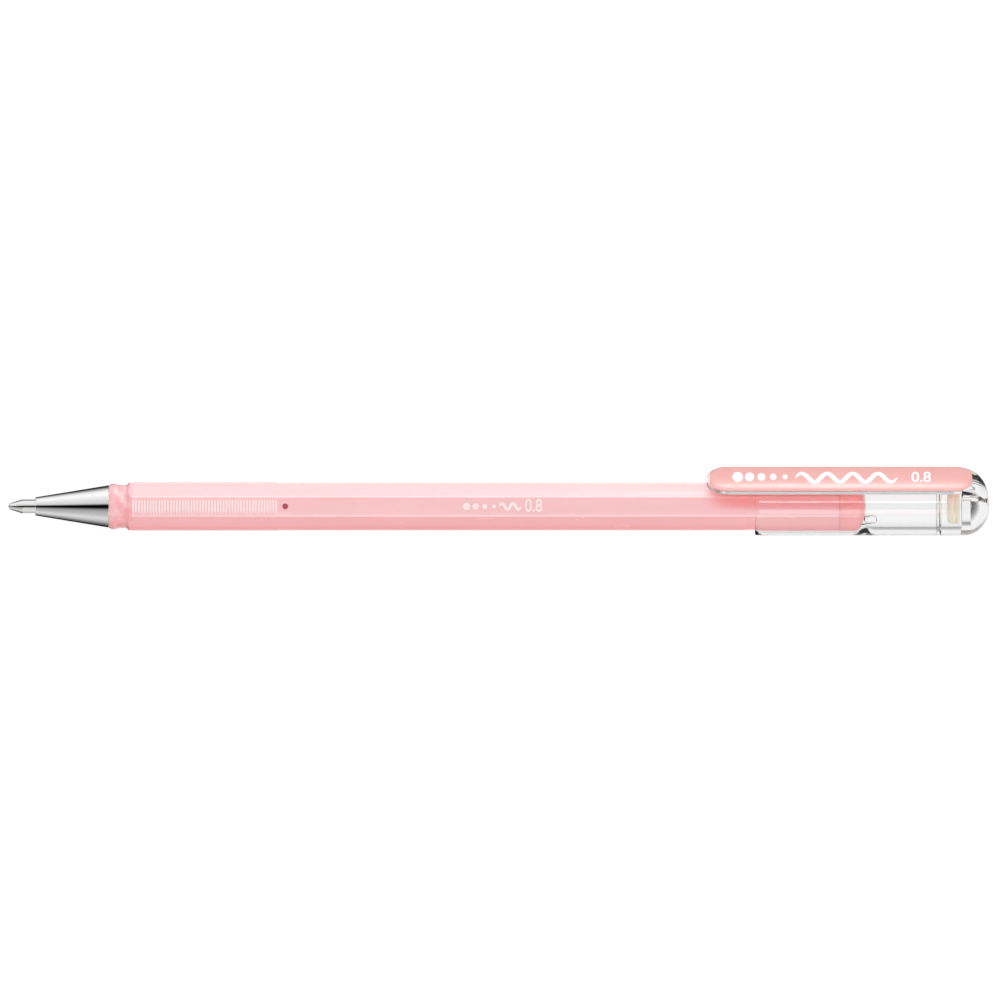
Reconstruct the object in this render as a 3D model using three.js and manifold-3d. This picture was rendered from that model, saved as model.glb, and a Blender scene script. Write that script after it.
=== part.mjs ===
// Capped gel pen, lying on its side with the cap posted on the tail of the barrel.
//
// An octagonal translucent barrel holds a screw-in metal nose cone, a refill (point tip, writing
// ball, tip holder, check ball, ink tube, ink and follower) and a domed tail plug. The clear cap
// is a tube, a domed crown with a seal inside it, and a clip arm that carries a coloured inlay.
//
// Units are millimetres. Stations along the pen are measured from the writing ball, towards the
// crown. The pen's axis is then laid along X, at the height that puts the cap's underside on z = 0,
// with x = 0 at mid-length and the clip straight up, +Z.
import * as THREE from 'three';
import { mergeVertices } from 'three/addons/utils/BufferGeometryUtils.js';
import Module from 'manifold-3d';

const wasm = await Module();
wasm.setup();

// ---------------------------------------------------------------- driving dimensions

const FIT = 0.02; // gap between two pieces that are pressed together
const RUNNING = 0.05; // radial gap of a turning or sliding fit

const ROUND = 48; // sides of a large round piece
const SMALL_ROUND = 24; // sides of a small one
const BALL_ROUND = 16; // sides of a ball

// Writing ball and point tip
const BALL_RADIUS = 0.4;
const TIP_RIM = 0.25; // station of the lip that keeps the ball in
const TIP_RIM_RADIUS = 0.5;
const TIP_SHOULDER = 2.24;
const TIP_RADIUS = 1.15;
const TIP_END = 12.0;
const TIP_BORE = 0.75;
const INK_DUCT = 0.2;

// Nose cone
const NOSE_FRONT = 4.47;
const NOSE_FRONT_RADIUS = 1.52;
const NOSE_REAR_RADIUS = 3.51;
const SHANK_RADIUS = 2.78; // threaded shank, over its crests
const SHANK_LENGTH = 4.8;
const NOSE_LIP = 0.06;

// Barrel
const BARREL_FRONT = 16.6;
const BARREL_APOTHEM = 3.92; // 7.84 mm across flats
const CORNER_FILLET = 0.4;
const FILLET_STEPS = 1;
const BEAD_RADIUS = 3.76;
const BEAD_LENGTH = 1.6;
const NECK_RADIUS = 3.56;
const NECK_END = 19.5;
const BARREL_BORE = 3.0;
const TAIL_STEP = 121.5; // behind this the barrel is a shade thinner, for the posted cap
const TAIL_RELIEF = 0.04;
const BARREL_END = 137.1;
const VENT_STATION = 45.7;
const VENT_RADIUS = 0.5;

// Grip ribs, on the four diagonal facets
const RIB_COUNT = 50;
const RIB_FIRST = 20.6;
const RIB_PITCH = 0.482;
const RIB_WIDTH = 0.24;
const RIB_SPAN = 2.72;
const RIB_HEIGHT = 0.08;
const RIB_ROOT = 0.3;

// Tail plug
const PLUG_SHOULDER = 139.7;
const PLUG_END = 142.0;
const PLUG_CROWN_RADIUS = 4.15;
const SPIGOT_FRONT = 132.5;

// Tip holder and check ball
const HOLDER_FRONT = 10.0;
const HOLDER_STEP = 13.1;
const HOLDER_FRONT_RADIUS = 1.85;
const HOLDER_RADIUS = 2.27;
const HOLDER_FLANGE_RADIUS = 2.75;
const HOLDER_FLANGE_THICKNESS = 0.8;
const HOLDER_END = 27.0;
const HOLDER_DUCT = 0.6;
const CHAMBER_RADIUS = 1.0;
const CHAMBER_END = 14.0;
const CHECK_BALL_RADIUS = 0.8;
const CHECK_BALL_STATION = 13.0;

// Ink tube, ink and follower
const TUBE_RADIUS = 2.7;
const TUBE_BORE = 2.19;
const TUBE_END = 130.0;
const INK_END = 112.0;
const FOLLOWER_LENGTH = 6.0;

// Cap tube
const CAP_MOUTH = 123.2;
const CAP_RADIUS = 4.79;
const CAP_BORE = 4.3;
const CAP_LIP = 0.8;
const CAP_LEAD_IN = 1.1;
const NARROW_START = 140.0;
const NARROW_FULL = 142.6;
const NARROW_BORE = 3.43;
const CAP_JOINT = 153.75;
const REBATE_DEPTH = 0.65;
const REBATE_RADIUS = 3.95;

// Crown
const CROWN_BORE = 3.42;
const CROWN_WALL = 157.25;
const DOME_CENTRE = 157.7;
const DOME_LENGTH = 4.13;
const POCKET_RADIUS = 2.62;
const POCKET_SHOULDER = 158.7;
const POCKET_END = 159.9;
const CROWN_VENT_RADIUS = 0.32;
const CROWN_VENT_SIDE = 1.3;
const CROWN_VENT_HEIGHT = 2.81;
const CRUSH_RIB_RADIUS = 0.35;
const CRUSH_RIB_FRONT = 154.7;
const CRUSH_RIB_GAP = 0.05;

// Seal
const SEAL_FRONT = 154.9;
const SEAL_REAR = 156.9;
const SEAL_RADIUS = 2.85;
const SEAL_CHAMFER = 0.45;
const SEAL_DIMPLE_RADIUS = 1.3;
const SEAL_DIMPLE_DEPTH = 0.5;

// Clip
const CLIP_FRONT = 115.2;
const CLIP_ROOT = 155.65; // the arm stops here and the crown's hump carries on
const CLIP_HALF_WIDTH = 2.8;
const CLIP_UNDERSIDE = 5.53; // height over the pen's axis
const CLIP_TOP = 6.31;
const CLIP_NOSE_LENGTH = 2.6;
const CLIP_BEAD_STATION = 118.0;
const CLIP_BEAD_RADIUS = 0.6;
const INLAY_FRONT = 115.66;
const INLAY_REAR = 159.0;
const INLAY_THICKNESS = 0.38;
const INLAY_NOSE_LENGTH = 2.5;
const HUMP_GAP = 0.12;
const HUMP_PLAN_START = 156.0;
const HUMP_PROFILE_START = 157.6;
const HUMP_END = 161.78;
const HUMP_SQUARENESS = 2.5; // exponent of its outlines: 2 is an ellipse, more is boxier

// ---------------------------------------------------------------- solids

/** A closed geometry as a manifold solid, facing out whichever way its profile ran. */
function solidFrom(geometry) {
  const bare = geometry.index ? geometry.toNonIndexed() : geometry.clone();
  bare.deleteAttribute('normal');
  bare.deleteAttribute('uv');
  const merged = mergeVertices(bare, 1e-4);
  const position = merged.attributes.position;
  const corner = [new THREE.Vector3(), new THREE.Vector3(), new THREE.Vector3()];
  const triangles = [];
  let volume = 0;
  for (let i = 0; i < merged.index.count; i += 3) {
    const [a, b, c] = merged.index.array.subarray(i, i + 3);
    if (a === b || b === c || c === a) continue;
    triangles.push(a, b, c);
    [a, b, c].forEach((vertex, k) => corner[k].fromBufferAttribute(position, vertex));
    volume += corner[0].dot(corner[1].cross(corner[2]));
  }
  if (volume < 0) triangles.reverse();
  return new wasm.Manifold(new wasm.Mesh({
    numProp: 3,
    vertProperties: new Float32Array(position.array),
    triVerts: new Uint32Array(triangles),
  }));
}

/** The solid's surface as a three.js geometry. */
function geometryFrom(solid) {
  const mesh = solid.getMesh();
  const geometry = new THREE.BufferGeometry();
  geometry.setAttribute('position', new THREE.BufferAttribute(mesh.vertProperties, 3));
  geometry.setIndex(new THREE.BufferAttribute(mesh.triVerts, 1));
  geometry.computeVertexNormals();
  return geometry;
}

/**
 * A turned solid about the pen's axis. The profile is [station, radius] pairs; one that doesn't
 * start and end on the axis closes on itself, as a ring. Radii are to the middle of each side, with
 * a side straight down, so the piece lies flat.
 */
function turned(profile, sides = ROUND) {
  const toCorner = 1 / Math.cos(Math.PI / sides);
  const onAxis = profile[0][1] === 0;
  const outline = onAxis ? profile : [...profile, profile[0]];
  const points = outline.map(([station, radius]) => new THREE.Vector2(radius * toCorner, station));
  const geometry = new THREE.LatheGeometry(points, sides, Math.PI / sides);
  geometry.rotateZ(-Math.PI / 2);
  return solidFrom(geometry);
}

/** Points of an elliptical quarter arc from the rim at `centre` to the axis, or part of the way. */
function domeArc(centre, length, radius, steps) {
  return Array.from({ length: steps + 1 }, (_, i) => {
    const angle = (Math.PI / 2) * (i / steps);
    const height = i === steps ? 0 : radius * Math.cos(angle);
    return [centre + length * Math.sin(angle), height];
  });
}

/** A ball on the pen's axis. */
function ball(station, radius, sides) {
  const geometry = new THREE.SphereGeometry(radius, sides, sides / 2);
  geometry.rotateZ(-Math.PI / 2);
  geometry.translate(station, 0, 0);
  return solidFrom(geometry);
}

/** An octagonal bar along the pen with rounded corners and a flat facet on top and underneath. */
function octagonBar(apothem, start, end) {
  const outline = new THREE.Shape();
  const halfTurn = Math.PI / 8;
  const centreDistance = (apothem - CORNER_FILLET) / Math.cos(halfTurn);
  for (let corner = 0; corner < 8; corner += 1) {
    const angle = (2 * corner + 1) * halfTurn;
    const x = centreDistance * Math.cos(angle);
    const y = centreDistance * Math.sin(angle);
    outline.absarc(x, y, CORNER_FILLET, angle - halfTurn, angle + halfTurn, false);
  }
  const geometry = new THREE.ExtrudeGeometry(outline, {
    depth: end - start,
    bevelEnabled: false,
    curveSegments: FILLET_STEPS,
  });
  geometry.rotateY(Math.PI / 2);
  geometry.translate(start, 0, 0);
  return solidFrom(geometry);
}

/** A round bar that crosses the pen's axis squarely, leaning `lean` radians from +Z towards -Y. */
function radialBar(station, radius, inner, outer, lean, sides = SMALL_ROUND) {
  const geometry = new THREE.CylinderGeometry(radius, radius, outer - inner, sides);
  geometry.translate(0, (outer + inner) / 2, 0);
  geometry.rotateX(Math.PI / 2 + lean);
  geometry.translate(station, 0, 0);
  return solidFrom(geometry);
}

/** A round bar parallel to the pen's axis. */
function axialBar(start, end, radius, y, z, sides = SMALL_ROUND) {
  const geometry = new THREE.CylinderGeometry(radius, radius, end - start, sides);
  geometry.rotateZ(Math.PI / 2);
  geometry.translate((start + end) / 2, y, z);
  return solidFrom(geometry);
}

/** A flat plate cut to a plan outline of [station, y] pairs, between two heights over the axis. */
function plate(outline, bottom, top) {
  const shape = new THREE.Shape(outline.map(([x, y]) => new THREE.Vector2(x, y)));
  const geometry = new THREE.ExtrudeGeometry(shape, { depth: top - bottom, bevelEnabled: false });
  geometry.translate(0, 0, bottom);
  return solidFrom(geometry);
}

// ---------------------------------------------------------------- refill

function writingBall() {
  return ball(BALL_RADIUS, BALL_RADIUS, BALL_ROUND);
}

/** Turned metal tip: a lip round the ball, its socket, the ink duct and the rear bore. */
function pointTip() {
  const socket = BALL_RADIUS + 0.03;
  const socketEnd = 0.75;
  const ductEnd = 1.9;
  const boreStart = 2.6;
  return turned([
    [TIP_RIM, 0.395],
    [TIP_RIM, TIP_RIM_RADIUS],
    [TIP_SHOULDER, TIP_RADIUS],
    [TIP_END, TIP_RADIUS],
    [TIP_END, TIP_BORE],
    [boreStart, TIP_BORE],
    [ductEnd, INK_DUCT],
    [socketEnd + 0.08, INK_DUCT],
    [socketEnd, 0.3],
    [BALL_RADIUS + 0.2, 0.39],
    [BALL_RADIUS, socket],
  ], SMALL_ROUND);
}

/** Moulded joint between tip and tube, with the check ball's chamber and a stop flange. */
function tipHolder() {
  const flangeFront = BARREL_FRONT + SHANK_LENGTH + RUNNING;
  const flangeRear = flangeFront + HOLDER_FLANGE_THICKNESS;
  const seat = CHAMBER_RADIUS - HOLDER_DUCT;
  return turned([
    [HOLDER_FRONT, TIP_RADIUS + FIT],
    [HOLDER_FRONT, HOLDER_FRONT_RADIUS],
    [HOLDER_STEP, HOLDER_FRONT_RADIUS],
    [HOLDER_STEP, HOLDER_RADIUS],
    [flangeFront, HOLDER_RADIUS],
    [flangeFront, HOLDER_FLANGE_RADIUS],
    [flangeRear, HOLDER_FLANGE_RADIUS],
    [flangeRear, TUBE_BORE - FIT],
    [HOLDER_END, TUBE_BORE - FIT],
    [HOLDER_END, HOLDER_DUCT],
    [CHAMBER_END + seat, HOLDER_DUCT],
    [CHAMBER_END, CHAMBER_RADIUS],
    [TIP_END + RUNNING, CHAMBER_RADIUS],
    [TIP_END + RUNNING, TIP_RADIUS + FIT],
  ], SMALL_ROUND);
}

function checkBall() {
  return ball(CHECK_BALL_STATION, CHECK_BALL_RADIUS, BALL_ROUND);
}

function inkTube() {
  const front = BARREL_FRONT + SHANK_LENGTH + HOLDER_FLANGE_THICKNESS + 2 * RUNNING;
  return turned([
    [front, TUBE_BORE],
    [front, TUBE_RADIUS],
    [TUBE_END, TUBE_RADIUS],
    [TUBE_END, TUBE_BORE],
  ], SMALL_ROUND);
}

/** A full round slug that fills the ink tube between two stations. */
function tubeSlug(start, end) {
  const radius = TUBE_BORE - FIT;
  return turned([[start, 0], [start, radius], [end, radius], [end, 0]], SMALL_ROUND);
}

// ---------------------------------------------------------------- nose cone and barrel

/** Plated metal cone with a stepped bore and the shank that screws into the barrel. */
function noseCone() {
  const shankEnd = BARREL_FRONT + SHANK_LENGTH;
  const shoulder = HOLDER_FRONT - 0.3;
  const step = HOLDER_STEP - 0.2;
  return turned([
    [NOSE_FRONT, TIP_RADIUS + RUNNING],
    [NOSE_FRONT, NOSE_FRONT_RADIUS - NOSE_LIP],
    [NOSE_FRONT + NOSE_LIP, NOSE_FRONT_RADIUS],
    [BARREL_FRONT, NOSE_REAR_RADIUS],
    [BARREL_FRONT, SHANK_RADIUS],
    [shankEnd, SHANK_RADIUS],
    [shankEnd, HOLDER_RADIUS + RUNNING],
    [step, HOLDER_RADIUS + RUNNING],
    [step, HOLDER_FRONT_RADIUS + RUNNING],
    [shoulder, HOLDER_FRONT_RADIUS + RUNNING],
    [shoulder, TIP_RADIUS + RUNNING],
  ]);
}

/** The turned shape that trims the bar's front: a bead, a waist, then a cone out to the facets. */
function neckProfile() {
  const beadSteps = 6;
  const start = BARREL_FRONT + FIT;
  const edge = NOSE_REAR_RADIUS + FIT;
  const bead = Array.from({ length: beadSteps + 1 }, (_, i) => [
    start + BEAD_LENGTH * (i / beadSteps),
    edge + (BEAD_RADIUS - edge) * Math.sin(Math.PI * (i / beadSteps)),
  ]);
  const clearOfCorners = BARREL_APOTHEM + 0.5;
  return [
    [start, 0],
    ...bead,
    [start + BEAD_LENGTH + 0.1, NECK_RADIUS],
    [NECK_END, NECK_RADIUS],
    [NECK_END + (clearOfCorners - NECK_RADIUS), clearOfCorners],
    [BARREL_END, clearOfCorners],
    [BARREL_END, 0],
  ];
}

/** Cross ribs that stand on one facet, `lean` radians round from +Z towards -Y. */
function gripRibs(lean) {
  return Array.from({ length: RIB_COUNT }, (_, i) => {
    const geometry = new THREE.BoxGeometry(RIB_WIDTH, RIB_SPAN, RIB_HEIGHT + RIB_ROOT);
    geometry.translate(0, 0, BARREL_APOTHEM + (RIB_HEIGHT - RIB_ROOT) / 2);
    geometry.rotateX(lean);
    geometry.translate(RIB_FIRST + i * RIB_PITCH, 0, 0);
    return solidFrom(geometry);
  });
}

function barrel() {
  const diagonals = [1, 3, 5, 7].map((eighth) => (eighth * Math.PI) / 4);
  const front = octagonBar(BARREL_APOTHEM, BARREL_FRONT, TAIL_STEP);
  const tail = octagonBar(BARREL_APOTHEM - TAIL_RELIEF, TAIL_STEP - FIT, BARREL_END);
  const bore = turned([
    [BARREL_FRONT - 1, 0],
    [BARREL_FRONT - 1, SHANK_RADIUS + RUNNING],
    [BARREL_FRONT + SHANK_LENGTH + 0.2, SHANK_RADIUS + RUNNING],
    [BARREL_FRONT + SHANK_LENGTH + 0.6, BARREL_BORE],
    [BARREL_END + 1, BARREL_BORE],
    [BARREL_END + 1, 0],
  ]);
  const vent = radialBar(VENT_STATION, VENT_RADIUS, BARREL_BORE - 0.5, BARREL_APOTHEM + 0.5, Math.PI / 4);
  const ribs = diagonals.flatMap(gripRibs);
  return wasm.Manifold.union([front, tail])
    .intersect(turned(neckProfile()))
    .add(wasm.Manifold.union(ribs))
    .subtract(bore)
    .subtract(vent);
}

/** Domed octagonal plug, pressed into the barrel's tail. */
function tailPlug() {
  const start = BARREL_END + FIT;
  const body = octagonBar(BARREL_APOTHEM - TAIL_RELIEF, start, PLUG_END);
  const dome = turned([
    [start, 0],
    [start, BARREL_APOTHEM + 0.5],
    [PLUG_SHOULDER, BARREL_APOTHEM + 0.5],
    ...domeArc(PLUG_SHOULDER, PLUG_END - PLUG_SHOULDER, PLUG_CROWN_RADIUS, 4),
  ]);
  const radius = BARREL_BORE - FIT;
  const spigot = turned([
    [SPIGOT_FRONT, 0],
    [SPIGOT_FRONT, radius - 0.3],
    [SPIGOT_FRONT + 0.5, radius],
    [start + 0.5, radius],
    [start + 0.5, 0],
  ]);
  return body.intersect(dome).add(spigot);
}

// ---------------------------------------------------------------- cap

/** Clear tube: a wide bore that grips the barrel's tail, then a taper to a narrow bore. */
function capTube() {
  return turned([
    [CAP_MOUTH + CAP_LEAD_IN, CAP_BORE],
    [CAP_MOUTH, CAP_BORE + 0.14],
    [CAP_MOUTH, CAP_RADIUS - 0.28],
    [CAP_MOUTH + 0.3 * CAP_LIP, CAP_RADIUS - 0.1],
    [CAP_MOUTH + CAP_LIP, CAP_RADIUS],
    [CAP_JOINT, CAP_RADIUS],
    [CAP_JOINT, REBATE_RADIUS],
    [CAP_JOINT - REBATE_DEPTH, REBATE_RADIUS],
    [CAP_JOINT - REBATE_DEPTH, NARROW_BORE],
    [NARROW_FULL, NARROW_BORE],
    [NARROW_START, CAP_BORE],
  ]);
}

/** A rounded outline that falls from `height` at `start` to nothing at `end`, as [station, height]. */
function softCorner(start, end, height, steps) {
  const power = 2 / HUMP_SQUARENESS;
  return Array.from({ length: steps + 1 }, (_, i) => {
    const angle = (Math.PI / 2) * (i / steps);
    const along = i === steps ? 1 : Math.sin(angle) ** power;
    const up = i === steps ? 0 : Math.cos(angle) ** power;
    return [start + (end - start) * along, height * up];
  });
}

/** The hump on the crown that the clip arm springs from, rounded in side view and in plan. */
function clipHump() {
  const steps = 8;
  const front = CLIP_ROOT + HUMP_GAP;
  const side = softCorner(HUMP_PROFILE_START, HUMP_END, CLIP_TOP, steps);
  const sideShape = new THREE.Shape([[front, CLIP_TOP], ...side, [front, 0]].map(
    ([x, z]) => new THREE.Vector2(x, z),
  ));
  const sideView = new THREE.ExtrudeGeometry(sideShape, {
    depth: 2 * CLIP_HALF_WIDTH,
    bevelEnabled: false,
  });
  sideView.translate(0, 0, -CLIP_HALF_WIDTH);
  sideView.rotateX(Math.PI / 2);
  const half = softCorner(HUMP_PLAN_START, HUMP_END, CLIP_HALF_WIDTH, steps);
  const plan = [
    [front, -CLIP_HALF_WIDTH],
    ...half.map(([x, y]) => [x, -y]),
    ...half.slice(0, -1).reverse(),
    [front, CLIP_HALF_WIDTH],
  ];
  return solidFrom(sideView).intersect(plate(plan, 0, CLIP_TOP));
}

/** Clear crown: dome, rebated joint, seal cup, pocket, vents, crush ribs and the hump of the clip. */
function capCrown() {
  const joint = CAP_JOINT + FIT;
  const rebateFront = CAP_JOINT - REBATE_DEPTH + FIT;
  const dome = turned([
    [rebateFront, 0],
    [rebateFront, REBATE_RADIUS - FIT],
    [joint, REBATE_RADIUS - FIT],
    [joint, CAP_RADIUS],
    ...domeArc(DOME_CENTRE, DOME_LENGTH, CAP_RADIUS, 7),
  ]);
  const cup = turned([
    [rebateFront - 1, 0],
    [rebateFront - 1, CROWN_BORE],
    [CROWN_WALL, CROWN_BORE],
    [CROWN_WALL, POCKET_RADIUS],
    ...domeArc(POCKET_SHOULDER, POCKET_END - POCKET_SHOULDER, POCKET_RADIUS, 4),
  ]);
  const vents = [-1, 1].map((side) => (
    axialBar(CROWN_WALL - 0.2, HUMP_END + 1, CROWN_VENT_RADIUS, side * CROWN_VENT_SIDE, CROWN_VENT_HEIGHT)
  ));
  const ribCentre = SEAL_RADIUS + CRUSH_RIB_GAP + CRUSH_RIB_RADIUS;
  const ribs = [3, 7, 11].map((twelfth) => {
    const angle = (twelfth * Math.PI) / 6;
    const y = ribCentre * Math.cos(angle);
    const z = ribCentre * Math.sin(angle);
    return axialBar(CRUSH_RIB_FRONT, CROWN_WALL + 0.2, CRUSH_RIB_RADIUS, y, z, 12);
  });
  return wasm.Manifold.union([dome, clipHump()])
    .subtract(wasm.Manifold.union([cup, ...vents]))
    .add(wasm.Manifold.union(ribs));
}

/** Soft seal that closes on the writing point when the pen is capped, held by the crush ribs. */
function capSeal() {
  return turned([
    [SEAL_FRONT + SEAL_DIMPLE_DEPTH, 0],
    [SEAL_FRONT, SEAL_DIMPLE_RADIUS],
    [SEAL_FRONT, SEAL_RADIUS - SEAL_CHAMFER],
    [SEAL_FRONT + SEAL_CHAMFER, SEAL_RADIUS],
    [SEAL_REAR, SEAL_RADIUS],
    [SEAL_REAR, 0],
  ], SMALL_ROUND);
}

/** Plan outline of a bar whose front end is half an ellipse, and its rear end too if asked. */
function clipOutline(front, rear, halfWidth, noseLength, roundRear) {
  const steps = 14;
  const arc = (centre, reach, from) => Array.from({ length: steps + 1 }, (_, i) => {
    const angle = from + Math.PI * (i / steps);
    return [centre + reach * Math.cos(angle), halfWidth * Math.sin(angle)];
  });
  const nose = arc(front + noseLength, noseLength, Math.PI / 2);
  const tail = roundRear
    ? arc(rear - noseLength, noseLength, -Math.PI / 2)
    : [[rear, -halfWidth], [rear, halfWidth]];
  return [...nose, ...tail];
}

/** Clear springy arm over the cap, with a bead under its free end that grips a pocket. */
function clipArm() {
  const outline = clipOutline(CLIP_FRONT, CLIP_ROOT, CLIP_HALF_WIDTH, CLIP_NOSE_LENGTH, false);
  const bead = new THREE.CylinderGeometry(
    CLIP_BEAD_RADIUS,
    CLIP_BEAD_RADIUS,
    2 * CLIP_HALF_WIDTH - 0.8,
    SMALL_ROUND,
  );
  bead.translate(CLIP_BEAD_STATION, 0, CLIP_UNDERSIDE + 0.1);
  return plate(outline, CLIP_UNDERSIDE, CLIP_TOP).add(solidFrom(bead));
}

/** Coloured plate on top of the clip arm. */
function clipInlay() {
  const outline = clipOutline(INLAY_FRONT, INLAY_REAR, CLIP_HALF_WIDTH, INLAY_NOSE_LENGTH, true);
  return plate(outline, CLIP_TOP + FIT, CLIP_TOP + FIT + INLAY_THICKNESS);
}

// ---------------------------------------------------------------- materials

const FINISHES = {
  milkyPink: { color: '#f3b9ba', roughness: 0.28, metalness: 0 },
  plugPink: { color: '#f2b0b2', roughness: 0.3, metalness: 0 },
  inlayPink: { color: '#f7bfbd', roughness: 0.3, metalness: 0 },
  clear: { color: '#eef1f1', roughness: 0.08, metalness: 0, transparent: true, opacity: 0.35 },
  seal: { color: '#d8ccb2', roughness: 0.75, metalness: 0 },
  chrome: { color: '#d3d4d6', roughness: 0.12, metalness: 1 },
  steel: { color: '#c4c4c0', roughness: 0.22, metalness: 1 },
  carbide: { color: '#8c8d90', roughness: 0.15, metalness: 1 },
  holder: { color: '#eceae4', roughness: 0.45, metalness: 0 },
  tube: { color: '#edeeec', roughness: 0.25, metalness: 0, transparent: true, opacity: 0.4 },
  ink: { color: '#f6a6ae', roughness: 0.4, metalness: 0 },
  follower: { color: '#e9e2c4', roughness: 0.3, metalness: 0, transparent: true, opacity: 0.7 },
};

function piece(name, solid, finish) {
  const mesh = new THREE.Mesh(geometryFrom(solid), new THREE.MeshStandardMaterial(FINISHES[finish]));
  mesh.name = name;
  return mesh;
}

// ---------------------------------------------------------------- assembly

const refill = new THREE.Group();
refill.add(
  piece('writing_ball', writingBall(), 'carbide'),
  piece('point_tip', pointTip(), 'steel'),
  piece('tip_holder', tipHolder(), 'holder'),
  piece('check_ball', checkBall(), 'steel'),
  piece('ink_tube', inkTube(), 'tube'),
  piece('ink_gel', tubeSlug(HOLDER_END + FIT, INK_END), 'ink'),
  piece('ink_follower', tubeSlug(INK_END + FIT, INK_END + FOLLOWER_LENGTH), 'follower'),
);

const body = new THREE.Group();
body.add(
  piece('nose_cone', noseCone(), 'chrome'),
  piece('barrel', barrel(), 'milkyPink'),
  piece('tail_plug', tailPlug(), 'plugPink'),
);

const cap = new THREE.Group();
cap.add(
  piece('cap_tube', capTube(), 'clear'),
  piece('cap_crown', capCrown(), 'clear'),
  piece('cap_seal', capSeal(), 'seal'),
  piece('clip_arm', clipArm(), 'clear'),
  piece('clip_inlay', clipInlay(), 'inlayPink'),
);

const pen = new THREE.Group();
pen.add(refill, body, cap);
pen.position.set(-(DOME_CENTRE + DOME_LENGTH) / 2, 0, CAP_RADIUS);

export default pen;
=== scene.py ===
"""Gel pen with its clear cap posted on the tail: the looks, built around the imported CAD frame.

Lengths are in millimetres unless they say otherwise. A station is a distance along the pen from
the front of the writing ball, and `at` turns a station and offsets from the pen's axis into the
frame's metres. The pen lies along X and the clip is on top. The barrel has a flat facet every 45
degrees, and the one that leans towards -Y and up is called its front facet.
"""
import math

import bmesh
import bpy
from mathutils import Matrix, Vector


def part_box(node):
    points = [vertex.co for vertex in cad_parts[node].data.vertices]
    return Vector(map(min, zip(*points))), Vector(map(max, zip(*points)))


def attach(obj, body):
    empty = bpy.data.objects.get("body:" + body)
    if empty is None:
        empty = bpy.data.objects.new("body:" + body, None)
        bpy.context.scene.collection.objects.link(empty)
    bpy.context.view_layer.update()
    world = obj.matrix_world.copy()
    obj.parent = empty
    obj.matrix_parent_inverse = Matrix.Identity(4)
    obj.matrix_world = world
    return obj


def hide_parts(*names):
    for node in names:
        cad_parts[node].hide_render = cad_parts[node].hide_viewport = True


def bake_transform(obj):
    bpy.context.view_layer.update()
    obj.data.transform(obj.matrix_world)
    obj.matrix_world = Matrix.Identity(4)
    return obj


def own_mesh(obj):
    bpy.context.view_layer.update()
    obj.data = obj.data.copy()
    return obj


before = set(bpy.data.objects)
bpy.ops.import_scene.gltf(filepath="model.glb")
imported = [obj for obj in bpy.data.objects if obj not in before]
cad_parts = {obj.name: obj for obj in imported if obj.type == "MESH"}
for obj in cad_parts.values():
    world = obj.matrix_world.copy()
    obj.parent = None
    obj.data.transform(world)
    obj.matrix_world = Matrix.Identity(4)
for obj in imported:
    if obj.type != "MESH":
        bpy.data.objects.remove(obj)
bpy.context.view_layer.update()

MM = 0.001
TURN = 2 * math.pi
TIP_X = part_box("writing_ball")[0].x  # metres: where station 0 is
AXIS = sum(corner.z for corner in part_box("nose_cone")) / 2  # metres: height of the pen's axis


def span(node):
    """First and last station of a CAD node."""
    low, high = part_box(node)
    return (low.x - TIP_X) / MM, (high.x - TIP_X) / MM


def at(station, y, z):
    """The frame's point, in metres, for a station and offsets from the axis."""
    return Vector((TIP_X + station * MM, y * MM, AXIS + z * MM))


# ---- dimensions

NOSE_FRONT, SHANK_END = span("nose_cone")
BARREL_FRONT, BARREL_END = span("barrel")
PLUG_FRONT, PLUG_END = span("tail_plug")
MOUTH, CAP_JOINT = span("cap_tube")
CROWN_FRONT, CROWN_END = span("cap_crown")
SEAL_FRONT, SEAL_REAR = span("cap_seal")
CLIP_FRONT = span("clip_arm")[0]
INLAY_FRONT, INLAY_REAR = span("clip_inlay")
TUBE_FRONT, TUBE_END = span("ink_tube")
INK_FRONT, INK_END = span("ink_gel")
FOLLOWER_FRONT, FOLLOWER_END = span("ink_follower")
HOLDER_FRONT, HOLDER_END = span("tip_holder")
TIP_FRONT, TIP_END = span("point_tip")
GAP = 0.02  # between pieces that meet

TIP_RADIUS = 1.15
INK_CHANNEL = 0.2  # radius of the hole behind the writing ball
TUBE_RADIUS = 2.7
TUBE_BORE = 2.19
INK_RADIUS = 2.17
NOSE_REAR = BARREL_FRONT - GAP
NOSE_REAR_RADIUS = 3.51
SHANK_RADIUS = 2.78
THREAD_PITCH = 0.75
THREAD_DEPTH = 0.2

APOTHEM = 3.92  # of the barrel, 7.84 across flats
CORNER = 0.4  # radius of its eight edges
TAIL_STEP = 121.5
TAIL_APOTHEM = 3.88
BARREL_BORE = 3.0
SHANK_BORE = 2.83
BEAD_LENGTH = 1.6
BEAD_RADIUS = 3.76
NECK_END = 19.5
NECK_RADIUS = 3.56
BAR_START = 20.3  # where the neck's cone has met the facets

RIB_COUNT = 50
RIB_FIRST = 20.6
RIB_PITCH = 0.482
RIB_HEIGHT = 0.08
RIB_HALF_SPAN = 1.36

VENT_STATION = 45.7
VENT_RADIUS = 0.48
VENT_DEPTH = 0.3

PLUG_RIM = 139.7  # where the plug's dome starts
SPIGOT_RADIUS = 2.98

CAP_RADIUS = 4.79
CAP_BORE = 4.3
NARROW_BORE = 3.42
NARROW_START = 140.0
NARROW_FULL = 142.6
TAB_FRONT = 141.2
TAB_REAR = 143.3
TAB_INNER = 3.15
TAB_OUTER = 3.75
TAB_HALF_WIDTH = 0.62

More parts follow.
